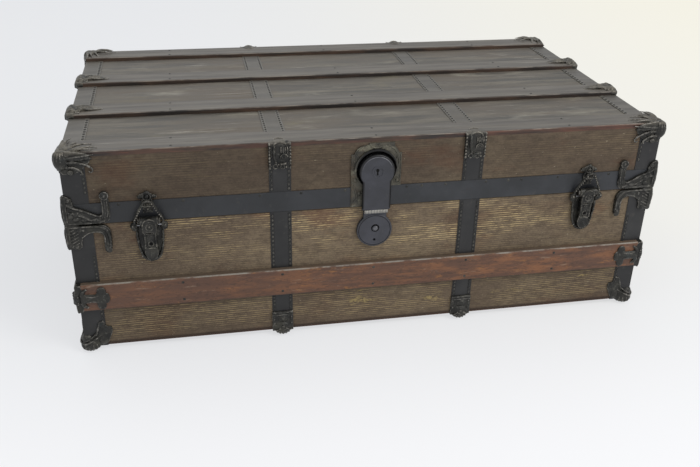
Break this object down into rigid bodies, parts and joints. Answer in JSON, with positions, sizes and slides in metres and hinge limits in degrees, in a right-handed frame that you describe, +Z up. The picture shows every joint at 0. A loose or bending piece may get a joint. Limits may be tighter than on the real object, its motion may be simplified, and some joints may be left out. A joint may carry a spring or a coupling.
{
  "type": "flat-top steamer trunk",
  "caption": "Flat-topped canvas-covered steamer trunk with wooden slats, sheet-iron straps, cast corner fittings, a centre hasp lock, draw latches and leather end handles.",
  "frame": {"origin": "on the floor, under the middle of the trunk", "axes": "+X to the trunk's right as seen from its front, +Y from the lock towards the hinges, +Z up"},
  "size_m": [0.972, 0.5532, 0.336],
  "materials": {
    "board": "rough sawn board, reddish",
    "canvas": "painted canvas, olive-brown on the walls, dusty grey on top",
    "lining": "aged paper lining",
    "bare_wood": "unfinished",
    "slat": "worn dark brown varnish",
    "sheet_iron": "worn black japanned sheet iron",
    "band": "dark blue-grey sheet iron",
    "leather": "dark stitched leather",
    "nail": "dull steel heads",
    "lock": "worn black over grey metal",
    "plug": "dull brass",
    "steel": "dull steel",
    "casting": "dark cast iron with worn edges"
  },
  "bodies": {
    "trunk": {"back_slat": "slat", "body_back_board": "board", "body_bottom_board": "board", "body_canvas": "canvas", "body_corner_irons": "sheet_iron", "body_front_board": "board", "body_left_board": "board", "body_lining": "lining", "body_nails": "nail", "body_right_board": "board", "body_slat_caps": "casting", "body_straps": "sheet_iron", "corner_feet": "casting", "dust_lip": "bare_wood", "front_slat": "slat", "handle_caps": "casting", "handle_left": "leather", "handle_right": "leather", "hasp_pin": "steel", "hinge_lower_leaves": "sheet_iron", "hinge_pins": "steel", "latch_bases": "casting", "latch_lever_pins": "steel", "lock_base_plate": "lock", "lower_seam_clamps": "casting", "strap_feet": "casting", "tray_cleats": "bare_wood"},
    "lid": {"hinge_upper_leaves": "sheet_iron", "latch_catches": "casting", "lid_back_board": "board", "lid_band": "band", "lid_canvas": "canvas", "lid_corner_bumpers": "casting", "lid_corner_irons": "sheet_iron", "lid_edge_slats": "slat", "lid_end_irons": "sheet_iron", "lid_front_board": "board", "lid_left_board": "board", "lid_lining": "lining", "lid_middle_slats": "slat", "lid_nails": "nail", "lid_right_board": "board", "lid_slat_caps": "casting", "lid_strap_clamps": "casting", "lid_straps": "sheet_iron", "lid_top_board": "board", "lock_pan": "steel", "lock_plate": "lock", "upper_seam_clamps": "casting"},
    "hasp": {"hasp_cover": "lock", "lock_case": "steel"},
    "plug": {"lock_plug": "plug"},
    "bolt": {"lock_bolt": "steel"},
    "left_lever": {"latch_lever_left": "casting", "latch_bail_pin_left": "steel"},
    "left_bail": {"latch_bail_left": "casting"},
    "right_lever": {"latch_lever_right": "casting", "latch_bail_pin_right": "steel"},
    "right_bail": {"latch_bail_right": "casting"}
  },
  "joints": [
    {"name": "lid_hinge", "type": "hinge", "parent": "trunk", "child": "lid", "pos_m": [0, 0.2675, 0.221], "axis": [-1, 0, 0], "range_deg": [0, 100]},
    {"name": "hasp_hinge", "type": "hinge", "parent": "trunk", "child": "hasp", "pos_m": [-0.004, -0.2705, 0.215], "axis": [1, 0, 0], "range_deg": [-4, 160]},
    {"name": "lock_plug_turn", "type": "hinge", "parent": "hasp", "child": "plug", "pos_m": [-0.004, -0.273, 0.281], "axis": [0, 1, 0], "range_deg": [0, 90]},
    {"name": "lock_bolt_slide", "type": "slide", "parent": "hasp", "child": "bolt", "axis": [0, 0, 1], "range_m": [0, 0.005]},
    {"name": "left_latch_lever", "type": "hinge", "parent": "trunk", "child": "left_lever", "pos_m": [-0.3425, -0.2713, 0.2245], "axis": [-1, 0, 0], "range_deg": [0, 120]},
    {"name": "left_latch_bail", "type": "hinge", "parent": "left_lever", "child": "left_bail", "pos_m": [-0.3425, -0.2664, 0.216], "axis": [1, 0, 0], "range_deg": [0, 150]},
    {"name": "right_latch_lever", "type": "hinge", "parent": "trunk", "child": "right_lever", "pos_m": [0.3425, -0.2713, 0.2245], "axis": [-1, 0, 0], "range_deg": [0, 120]},
    {"name": "right_latch_bail", "type": "hinge", "parent": "right_lever", "child": "right_bail", "pos_m": [0.3425, -0.2664, 0.216], "axis": [1, 0, 0], "range_deg": [0, 150]}
  ],
  "couplings": [
    {"joint": "lock_plug_turn", "follows": "lock_bolt_slide", "rad_per_m": 314.16},
    {"joint": "left_latch_bail", "follows": "left_latch_lever", "ratio": 1.25},
    {"joint": "right_latch_bail", "follows": "right_latch_lever", "ratio": 1.25}
  ]
}
